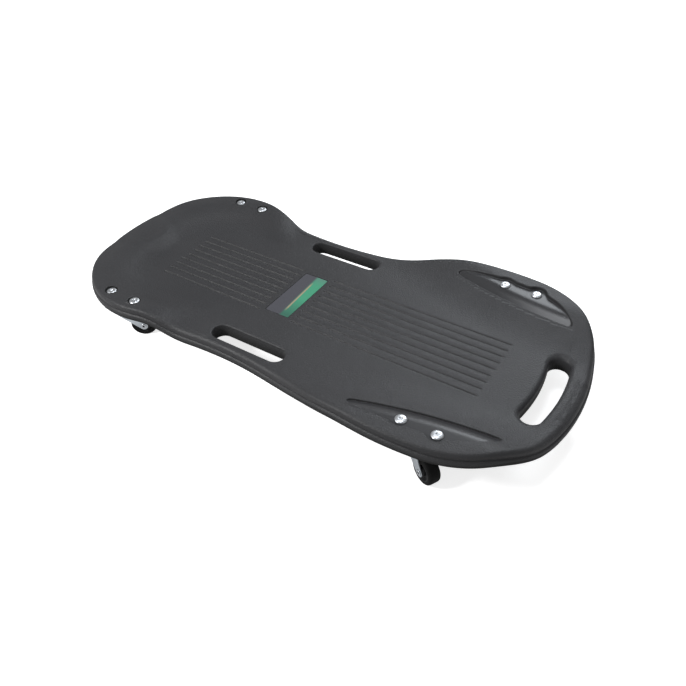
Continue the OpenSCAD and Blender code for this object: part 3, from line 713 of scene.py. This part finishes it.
def board_material():
    material, tree, shader = new_material("board plastic", (0.03, 0.03, 0.031), 0.46)
    cloud = object_noise(tree, 5, 3.0)
    pebble = object_noise(tree, 420, 1.0)
    low = add_node(tree, "ShaderNodeAttribute", attribute_name="painted_shade_share").outputs["Fac"]
    smooth = add_node(tree, "ShaderNodeAttribute", attribute_name="smooth_share").outputs["Fac"]
    colour = blend_colours(tree, remap(tree, cloud, 0.35, 0.65), CHARCOAL, CHARCOAL_PALE)
    # Painted shade: the colour goes nearly black where the mesh's shade share says that shade falls.
    tree.links.new(blend_colours(tree, low, colour, PAINTED_SHADE), shader.inputs["Base Color"])
    pebbled_rough = remap(tree, cloud, 0.3, 0.7, 0.44, 0.5)
    rough = combine(tree, "SUBTRACT", pebbled_rough, remap(tree, smooth, 0, 1, 0, 0.17))
    tree.links.new(combine(tree, "MULTIPLY_ADD", low, 0.35, rough), shader.inputs["Roughness"])
    bump = add_bump(tree, shader, pebble, 0.0008, 0.9)
    tree.links.new(remap(tree, smooth, 0, 1, 0.95, 0.06), bump.inputs["Strength"])
    return material


BOARD_PLASTIC = board_material()
finish_piece(board, "board_moulding", "board", BOARD_PLASTIC, ["board_shell"])


# %% [markdown]
# ## Metals
# The rivets and the pressed parts are zinc plated, so their metal is a little cloudy: a slow noise moves the
# colour and the roughness, and a fine one gives the pressed skin. The balls are polished, so theirs is
# nearly a mirror.

# %% Metals
def metal(name, dark, light, rough):
    material, tree, shader = new_material(name, light, rough, 1)
    cloud = object_noise(tree, 60, 3.0, 0.6)
    colour = blend_colours(tree, remap(tree, cloud, 0.3, 0.7), dark, light)
    tree.links.new(colour, shader.inputs["Base Color"])
    tree.links.new(remap(tree, cloud, 0.3, 0.7, rough + 0.07, rough - 0.05), shader.inputs["Roughness"])
    add_bump(tree, shader, object_noise(tree, 900, 1.0), 0.00006, 0.3)
    return material


RIVET_STEEL = metal("rivet steel", (0.54, 0.56, 0.58), (0.68, 0.7, 0.73), 0.36)
ZINC = metal("zinc plating", (0.44, 0.47, 0.5), (0.57, 0.61, 0.65), 0.34)
PIN_STEEL = metal("pin steel", (0.45, 0.47, 0.49), (0.6, 0.62, 0.65), 0.32)
WASHER_STEEL = metal("washer steel", (0.36, 0.37, 0.38), (0.5, 0.51, 0.53), 0.42)
BALL_STEEL = metal("ball steel", (0.7, 0.71, 0.73), (0.8, 0.81, 0.84), 0.12)
print("materials so far", len(bpy.data.materials))


# %% [markdown]
# ## Wheel plastic and rubber
# Hub and tyre are nearly black, and hardly shine. What tells them apart is the bloom on the rubber, a grey
# cast that comes to its surface, so both share one helper and differ in colour and roughness.

# %% Hub plastic and tyre rubber
def dull_material(name, dark, light, rough, grain):
    material, tree, shader = new_material(name, light, rough)
    bloom = object_noise(tree, 40, 4.0, 0.6)
    colour = blend_colours(tree, remap(tree, bloom, 0.35, 0.65), dark, light)
    tree.links.new(colour, shader.inputs["Base Color"])
    tree.links.new(remap(tree, bloom, 0.3, 0.7, rough - 0.06, rough + 0.06), shader.inputs["Roughness"])
    add_bump(tree, shader, object_noise(tree, grain, 2.0), 0.0001, 0.35)
    shader.inputs["Specular IOR Level"].default_value = 0.15
    return material


HUB_PLASTIC = dull_material("hub plastic", (0.016, 0.016, 0.017), (0.026, 0.026, 0.027), 0.5, 700)
TYRE_RUBBER = dull_material("tyre rubber", (0.004, 0.004, 0.004), (0.008, 0.008, 0.008), 0.7, 900)
print("materials so far", len(bpy.data.materials))

# %% [markdown]
# ## Label print
# The label is printed film: a grey field on one side, a green one on the other that is darker towards the
# near end, and a slanted copper stripe where they meet. Its colours are mixed from the place along and
# across the card, because a few ramps are enough for plain fields with soft edges.

# %% Label print
LABEL_LENGTH, LABEL_WIDTH = (-0.0864, -0.0336), (-0.0674, 0.0674)
LABEL_GREY, LABEL_COPPER = (0.06, 0.06, 0.07), (0.3, 0.24, 0.16)
LABEL_GREENS = ((0.035, 0.12, 0.085), (0.05, 0.26, 0.15), (0.1, 0.16, 0.15))


def label_material():
    material, tree, shader = new_material("label print", LABEL_GREY, 0.38)
    place = add_node(tree, "ShaderNodeTexCoord")
    parts = add_node(tree, "ShaderNodeSeparateXYZ")
    tree.links.new(place.outputs["Object"], parts.inputs["Vector"])
    along_x = remap(tree, parts.outputs["X"], *LABEL_LENGTH)
    along_y = remap(tree, parts.outputs["Y"], *LABEL_WIDTH)
    slant = combine(tree, "MULTIPLY_ADD", along_y, 0.1, along_x)
    near_green, green, far_green = LABEL_GREENS
    field = blend_colours(tree, remap(tree, along_y, 0.05, 0.45), near_green, green)
    field = blend_colours(tree, remap(tree, along_y, 0.8, 1, 0, 0.6), field, far_green)
    field = blend_colours(tree, remap(tree, slant, 0.58, 0.68), LABEL_GREY, field)
    band = combine(tree, "MULTIPLY", remap(tree, slant, 0.62, 0.65), remap(tree, slant, 0.71, 0.68))
    ends = combine(tree, "MULTIPLY", remap(tree, along_y, 0.1, 0.2), remap(tree, along_y, 0.86, 0.76))
    stripe = combine(tree, "MULTIPLY", band, ends)
    tree.links.new(blend_colours(tree, stripe, field, LABEL_COPPER), shader.inputs["Base Color"])
    film = object_noise(tree, 300, 2.0)
    tree.links.new(remap(tree, film, 0.3, 0.7, 0.32, 0.42), shader.inputs["Roughness"])
    return material


LABEL_PRINT = label_material()
print("label print has", len(LABEL_PRINT.node_tree.nodes), "nodes")


# %% [markdown]
# ## Turned pieces
# Rivets, axles, hubs and tyres are all round, and on the real object they are turned, rolled or moulded round
# an axis. Primitives put together would show their seams. So the section is drawn as a list of radius and
# height, its corners are rounded, and it is spun.

# %% Round the corners of a section
def rounded(points, radius, count=3):
    shaped = []
    for i, (r, z) in enumerate(points):
        corner = Vector((r, z))
        before, after = Vector(points[i - 1]), Vector(points[(i + 1) % len(points)])
        cut = min(radius, 0.45 * (before - corner).length, 0.45 * (after - corner).length)
        if r == 0 or cut < 0.05:
            shaped.append((r, z))
            continue
        first = corner + cut * (before - corner).normalized()
        last = corner + cut * (after - corner).normalized()
        for k in range(count + 1):
            s = k / count
            p = (1 - s) ** 2 * first + 2 * s * (1 - s) * corner + s * s * last
            shaped.append((p.x, p.y))
    return shaped


# %% Spin a section
def add_turned(bm, points, place, steps=48, closed=True):
    part = bmesh.new()
    verts = [part.verts.new((r, 0, z)) for r, z in points]
    for a, b in zip(verts, verts[1:] + (verts[:1] if closed else [])):
        part.edges.new((a, b))
    bmesh.ops.spin(part, geom=verts + part.edges[:], cent=(0, 0, 0), axis=(0, 0, 1), angle=2 * math.pi,
                   steps=steps, use_merge=True, use_duplicate=False)
    bmesh.ops.remove_doubles(part, verts=part.verts, dist=0.001)
    bmesh.ops.recalc_face_normals(part, faces=part.faces)
    part.transform(place)
    turned = bpy.data.meshes.new("turned")
    part.to_mesh(turned)
    part.free()
    bm.from_mesh(turned)
    bpy.data.meshes.remove(turned)


def crisp(piece):
    modifier = piece.modifiers.new("weighted normals", "WEIGHTED_NORMAL")
    modifier.keep_sharp = False


# %% [markdown]
# ## Rivets
# Eight blind rivets hold the caster plates. Each has a wide domed head with the dimple that its broken pin
# leaves, a shank through the board, and the swollen end that the pin drew up against the plate. The whole
# rivet is one section from its swollen end to its dimple.

# %% Rivets
PLATE_LOW = 63.5
SHANK_R, DOME_R, DOME_RISE = 3.2, 6.8, 3.1


def rivet_section(seat):
    tail = [(0, PLATE_LOW - 10), (2.6, PLATE_LOW - 10), (5.25, PLATE_LOW - 5), (5.25, PLATE_LOW - 0.7),
            (SHANK_R, PLATE_LOW), (SHANK_R, seat), (9.8, seat), (10, seat + 0.3), (10, seat + 0.9)]
    angles = [math.radians(d) for d in range(15, 91, 15)]
    dome = [(SHANK_R + DOME_R * math.cos(a), seat + 0.9 + DOME_RISE * math.sin(a)) for a in angles]
    return tail + dome + [(2.7, seat + 3.9), (2.4, seat + 3.4), (2.3, seat + 2.3), (0, seat + 2.05)]


rivets = bmesh.new()
for rivet_places, seat in ((RIVETS_HEAD, SEAT_HEAD), (RIVETS_FOOT, SEAT_FOOT)):
    for x, y in rivet_places:
        for side in (-1, 1):
            add_turned(rivets, rivet_section(seat), Matrix.Translation((x, side * y, 0)), closed=False)
crisp(finish_piece(rivets, "blind_rivets", "board", RIVET_STEEL, ["rivets"]))

# %% [markdown]
# ## Label
# The label is a thin card in a shallow recess. A plane would show no edge, so a box is thinned to the film's
# height, its upright edges are cut back for round corners, and its upper edge is eased.

# %% Label card
label = bmesh.new()
bmesh.ops.create_cube(label, size=1)
bmesh.ops.scale(label, vec=(52.2, 134.2, 0.75), verts=label.verts)
upright = [e for e in label.edges if abs(e.verts[0].co.z - e.verts[1].co.z) > 0.1]
bmesh.ops.bevel(label, geom=upright, offset=1.6, segments=4, profile=0.5, affect="EDGES", material=-1)
upper = [e for e in label.edges if min(v.co.z for v in e.verts) > 0.3]
bmesh.ops.bevel(label, geom=upper, offset=0.2, segments=2, profile=0.5, affect="EDGES", material=-1)
bmesh.ops.translate(label, vec=(LABEL_X, 0, BED - 0.8), verts=label.verts)
crisp(finish_piece(label, "label_card", "board", LABEL_PRINT, ["label_plate"]))

# %% [markdown]
# ## Casters
# Four swivel casters carry the board. A plate is riveted under each pad, a pressed fork turns under it on
# balls, and a hollow axle with rolled ends carries the wheel between the fork's legs. All four are the same,
# so each piece is drawn once in the caster's own frame, and one matrix stands it in its place.

# %% Where the casters stand
# Each caster: x, y, and the angle that its fork is turned to
CASTERS = {"head_near": (-331, -197, 38), "head_far": (-331, 197, 22),
           "foot_near": (315, -201.5, -28), "foot_far": (315, 201.5, -40)}
TRAIL, AXLE_Z = 27, 25
ON_AXLE = Matrix.Translation((TRAIL, 0, AXLE_Z)) @ Matrix.Rotation(math.pi / 2, 4, "X")


def stand(name, turned=True):
    x, y, angle = CASTERS[name]
    return Matrix.Translation((x, y, 0)) @ Matrix.Rotation(math.radians(angle if turned else 0), 4, "Z")


print("casters", {name: [round(v) for v in (stand(name) @ ON_AXLE).translation] for name in CASTERS})


# %% [markdown]
# ## Sheet metal
# Plates and forks are pressed from sheet, so they are drawn as a flat outline with holes in it, filled, and
# thickened by a Solidify modifier. A Bevel modifier then eases the cut edges, as the tumbling drum does.

# %% Fill a flat sheet
def circle_points(centre, radius, count=32, first=0.0, last=2 * math.pi):
    return [(centre[0] + radius * math.cos(first + (last - first) * i / count),
             centre[1] + radius * math.sin(first + (last - first) * i / count)) for i in range(count)]


def filled(bm, loops, place):
    """One flat sheet with holes: the first loop is its outline."""
    edges = []
    for points in loops:
        verts = [bm.verts.new((*p, 0)) for p in points]
        edges += [bm.edges.new(pair) for pair in zip(verts, verts[1:] + verts[:1])]
    bmesh.ops.triangle_fill(bm, use_beauty=True, use_dissolve=False, edges=edges, normal=(0, 0, 1))
    bmesh.ops.transform(bm, matrix=place, verts=list({v for e in edges for v in e.verts}))
    return edges


# %% Thicken a sheet
def thicken(piece, thickness, bevel):
    solid = piece.modifiers.new("sheet", "SOLIDIFY")
    solid.thickness = thickness * MM
    solid.offset = 0
    solid.use_even_offset = True
    edge = piece.modifiers.new("soft edges", "BEVEL")
    edge.width = bevel * MM
    edge.segments = 2
    edge.limit_method = "ANGLE"
    edge.angle_limit = math.radians(50)
    crisp(piece)


# %% Plates
PLATE_CORNER, PLATE_CORNER_R, PLATE_THICK = (32.8, 13.8), 9.2, 2.5


def plate_outline():
    points = []
    for sx, sy, first in ((1, 1, 0), (-1, 1, 90), (-1, -1, 180), (1, -1, 270)):
        cx, cy = sx * PLATE_CORNER[0], sy * PLATE_CORNER[1]
        last = math.radians(first + 90)
        points += circle_points((cx, cy), PLATE_CORNER_R, 8, math.radians(first), last)
        points.append((cx + PLATE_CORNER_R * math.cos(last), cy + PLATE_CORNER_R * math.sin(last)))
    return points


plate_holes = [circle_points((0, 0), 4.1)] + [circle_points((x, 0), 3.3, 24) for x in (-31, 31)]
plate_middle = Matrix.Translation((0, 0, PLATE_LOW + PLATE_THICK / 2))
for name in CASTERS:
    plate = bmesh.new()
    filled(plate, [plate_outline()] + plate_holes, stand(name, False) @ plate_middle)
    piece = finish_piece(plate, f"{name}_top_plate", "board", ZINC, [f"{name}_plate"])
    thicken(piece, PLATE_THICK, 0.4)


# %% [markdown]
# ## Forks
# A fork is one pressing: two legs that narrow to an eye round the axle, a bend over each, and a round crown
# with an upturned rim that holds the balls. The leg's sides touch the eye, the bend is the leg's top edge
# spun about a line, and the crown is a spun section that meets the bends.

# %% Outline of a fork's leg
FORK_TOP, LEG_HALF, EYE_R = 56.1, 15.5, 8


def tangent_point(start, side):
    """Where a straight side from the start touches the eye."""
    gap = Vector((TRAIL, AXLE_Z)) - start
    lean = side * math.asin(EYE_R / gap.length)
    way = Vector((gap.x * math.cos(lean) - gap.y * math.sin(lean),
                  gap.x * math.sin(lean) + gap.y * math.cos(lean)))
    return start + way.normalized() * math.sqrt(gap.length_squared - EYE_R ** 2)


def leg_outline():
    low = tangent_point(Vector((-LEG_HALF, FORK_TOP)), -1)
    high = tangent_point(Vector((LEG_HALF, FORK_TOP)), 1)
    first = math.atan2(low.y - AXLE_Z, low.x - TRAIL)
    last = math.atan2(high.y - AXLE_Z, high.x - TRAIL)
    if last < first:
        last += 2 * math.pi
    eye = circle_points((TRAIL, AXLE_Z), EYE_R, 20, first, last)
    return eye + [tuple(high)] + [(LEG_HALF - 2 * LEG_HALF * i / 8, FORK_TOP) for i in range(9)]


print("a leg has", len(leg_outline()), "points")

# %% Forks
LEG_Y, BEND_Y, FORK_THICK = 13.7, 11, 2.3
CROWN = [(4.2, 58.8), (11, 58.8), (18.6, 58.8), (19.8, 59.1), (20.6, 59.9), (20.8, 61.4)]
for name in CASTERS:
    fork = bmesh.new()
    for side in (-1, 1):
        sheet = Matrix.Translation((0, side * LEG_Y, 0)) @ Matrix.Rotation(math.pi / 2, 4, "X")
        edges = filled(fork, [leg_outline(), circle_points((TRAIL, AXLE_Z), 4.1, 24)], sheet)
        top = [e for e in edges if all(abs(v.co.z - FORK_TOP) < 0.01 for v in e.verts)]
        bmesh.ops.spin(fork, geom=top, cent=(0, side * BEND_Y, FORK_TOP), axis=(side, 0, 0),
                       angle=math.radians(80), steps=5, use_duplicate=False, use_merge=False)
    add_turned(fork, CROWN, Matrix.Identity(4), closed=False)
    bmesh.ops.recalc_face_normals(fork, faces=fork.faces)
    fork.transform(stand(name))
    piece = finish_piece(fork, f"{name}_pressed_fork", f"{name}_swivel", ZINC, [f"{name}_fork"])
    thicken(piece, FORK_THICK, 0.35)

# %% [markdown]
# ## Axles, hubs and tyres
# The axle is a tube whose ends are rolled over outside the legs. The hub is moulded with a thin web between
# its boss and its ring, and the tyre has round shoulders with the mould's seam round its middle. Each is one
# closed section, spun and then laid on the axle's line.

# %% Axles, hubs and tyres
AXLE_SECTION = [(2.25, -16.2), (4.9, -16.2), (5.5, -15.6), (5.5, -15.0), (4, -15.0),
                (4, 15.0), (5.5, 15.0), (5.5, 15.6), (4.9, 16.2), (2.25, 16.2)]
HUB_SECTION = [(5.6, -11), (8.9, -11), (9.2, -7), (15.4, -7), (16, -10.4), (18.35, -10.6),
               (18.35, 10.6), (16, 10.4), (15.4, 7), (9.2, 7), (8.9, 11), (5.6, 11)]
TYRE_SECTION = [(18.5, -10.8), (20.4, -11), (22.4, -10.7), (24.1, -9.2), (24.9, -6.8), (25, -4), (25, -0.3),
                (24.88, 0), (25, 0.3), (25, 4), (24.9, 6.8), (24.1, 9.2), (22.4, 10.7), (20.4, 11),
                (18.5, 10.8)]
ROUND_PIECES = (("rolled_axle", AXLE_SECTION, 0.5, "swivel", "axle_steel", PIN_STEEL, "axle"),
                ("wheel_hub", HUB_SECTION, 0.8, "wheel", "hub_plastic", HUB_PLASTIC, "hub"),
                ("wheel_tyre", TYRE_SECTION, 0.4, "wheel", "tyre_rubber", TYRE_RUBBER, "tyre"))
for name in CASTERS:
    for kind, section, ease_by, body, slot, material, node in ROUND_PIECES:
        turned = bmesh.new()
        add_turned(turned, rounded(section, ease_by), stand(name) @ ON_AXLE, 64)
        crisp(finish_piece(turned, f"{name}_{kind}", f"{name}_{body}", material, [f"{name}_{node}"]))

# %% [markdown]
# ## Small steel parts
# Kingpins, balls, washers and bushes are plain turned steel and mostly hidden. The CAD meshes are already
# right for them, so they stay as they are and only get a finish.

# %% Small steel parts that come from the frame
SMALL_PARTS = {"kingpin": PIN_STEEL, "balls": BALL_STEEL, "washer": WASHER_STEEL, "bush": WASHER_STEEL}
for name in CASTERS:
    for node, material in SMALL_PARTS.items():
        part = frame["nodes"][f"{name}_{node}"]
        part.data.materials.clear()
        part.data.materials.append(material)


# %% [markdown]
# ## Light
# The photograph is a catalogue shot: a dark board in a white room. Lighting the room until it is white would
# wash the board out. So the camera alone sees a white world, while the light on the board comes from a soft
# sky that is brighter towards the horizon, and the reflections show that same sky.

# %% Sky
def seen_share(tree, glossy):
    """1 for rays from the camera and through glass, and the given share for reflections."""
    path = add_node(tree, "ShaderNodeLightPath")
    seen = combine(tree, "MAXIMUM", path.outputs["Is Camera Ray"], path.outputs["Is Transmission Ray"])
    return combine(tree, "MULTIPLY_ADD", path.outputs["Is Glossy Ray"], glossy, seen)


world = bpy.data.worlds.new("pale room")
bpy.context.scene.world = world
world.use_nodes = True
world_tree = world.node_tree
sky = world_tree.nodes["Background"]
sky.inputs["Color"].default_value = (1, 1, 1, 1)
way = add_node(world_tree, "ShaderNodeTexCoord")
rise = add_node(world_tree, "ShaderNodeSeparateXYZ")
world_tree.links.new(way.outputs["Generated"], rise.inputs["Vector"])
strength = add_node(world_tree, "ShaderNodeMix", [("B", 1)])
world_tree.links.new(seen_share(world_tree, 0), strength.inputs["Factor"])
world_tree.links.new(remap(world_tree, rise.outputs["Z"], 0.05, 0.8, 0.5, 0.3), strength.inputs["A"])
world_tree.links.new(strength.outputs["Result"], sky.inputs["Strength"])
print("the sky has", len(world_tree.nodes), "nodes")


# %% [markdown]
# Three round lamps add what the sky can't. A wide panel behind lays a soft cool sheen on the slopes that
# face away, a lamp overhead lifts the bed, and a small one in front on the left picks out the near edge.

# %% Lamps
def add_lamp(name, place, aim, size, power, tint):
    light = bpy.data.lights.new(name, "AREA")
    light.shape = "DISK"
    light.size = size
    light.energy = power
    light.color = tint
    lamp = bpy.data.objects.new(name, light)
    bpy.context.scene.collection.objects.link(lamp)
    lamp.location = place
    lamp.rotation_euler = (Vector(aim) - Vector(place)).to_track_quat("-Z", "Y").to_euler()


add_lamp("back panel", (-0.05, 2.0, 1.5), (0.4, 0, 0), 1.2, 24, (0.9, 0.95, 1))
add_lamp("top lamp", (0.05, 0.02, 1.8), (0.2, 0.05, 0), 0.6, 12, (0.93, 0.96, 1))
add_lamp("left lamp", (-0.9, -1.3, 1.2), (-0.05, -0.1, 0), 0.4, 26, (1, 1, 1))

# %% [markdown]
# The floor is a stage, not a piece. The camera sees it white, from its colour and a glow of its own, with
# the board's soft shadow on it. For light that bounces it is dark, so that it doesn't fill in the shade
# under the lip, and reflections show it at a bit under half its white.

# %% Floor
WHITE, BOUNCED = (0.8, 0.8, 0.8), (0.12, 0.12, 0.12)
FLOOR_HALF, FLOOR_GLOW, FLOOR_MIRRORED = 6, 0.75, 0.45
floor_mesh = bmesh.new()
bmesh.ops.create_grid(floor_mesh, x_segments=1, y_segments=1, size=FLOOR_HALF)
floor_data = bpy.data.meshes.new("floor")
floor_mesh.to_mesh(floor_data)
floor_mesh.free()
floor = bpy.data.objects.new("floor", floor_data)
bpy.context.scene.collection.objects.link(floor)
floor_white, floor_tree, floor_shader = new_material("white floor", WHITE, 0.9)
floor_shader.inputs["Specular IOR Level"].default_value = 0
floor_shader.inputs["Emission Color"].default_value = (1, 1, 1, 1)
seen = seen_share(floor_tree, FLOOR_MIRRORED)
floor_tree.links.new(remap(floor_tree, seen, 0, 1, 0, FLOOR_GLOW), floor_shader.inputs["Emission Strength"])
floor_tree.links.new(blend_colours(floor_tree, seen, BOUNCED, WHITE), floor_shader.inputs["Base Color"])
floor_data.materials.append(floor_white)
print("floor", 2 * FLOOR_HALF, "m wide")

# %% [markdown]
# ## Camera
# The camera stands where the photograph's camera stood. Its place was worked out from the grooves, rivets
# and slots: 35 degrees round from the near side, 41 degrees up, and tipped a little. Three directions at
# right angles make its matrix, which is plainer here than three turns in the right order.

# %% Camera
AIM = Vector((0.0954, -0.0754, 0.071))
AZIMUTH, ELEVATION, ROLL = (math.radians(v) for v in (34.72, 40.99, -2.51))
DISTANCE, SENSOR, LENS = 1.2145, 36, 35.65
level = math.cos(ELEVATION)
away = Vector((level * math.sin(AZIMUTH), -level * math.cos(AZIMUTH), math.sin(ELEVATION)))
right = Vector((math.cos(AZIMUTH), math.sin(AZIMUTH), 0))
upward = right.cross(-away)
view_right = math.cos(ROLL) * right + math.sin(ROLL) * upward
view_up = math.cos(ROLL) * upward - math.sin(ROLL) * right
camera_data = bpy.data.cameras.new("camera")
camera_data.sensor_width = SENSOR
camera_data.lens = LENS
camera = bpy.data.objects.new("camera", camera_data)
bpy.context.scene.collection.objects.link(camera)
camera.matrix_world = Matrix((view_right, view_up, away)).transposed().to_4x4()
camera.location = AIM + DISTANCE * away
bpy.context.scene.camera = camera
bpy.context.scene.view_settings.view_transform = "Standard"
print("camera at", [round(v, 3) for v in camera.location])
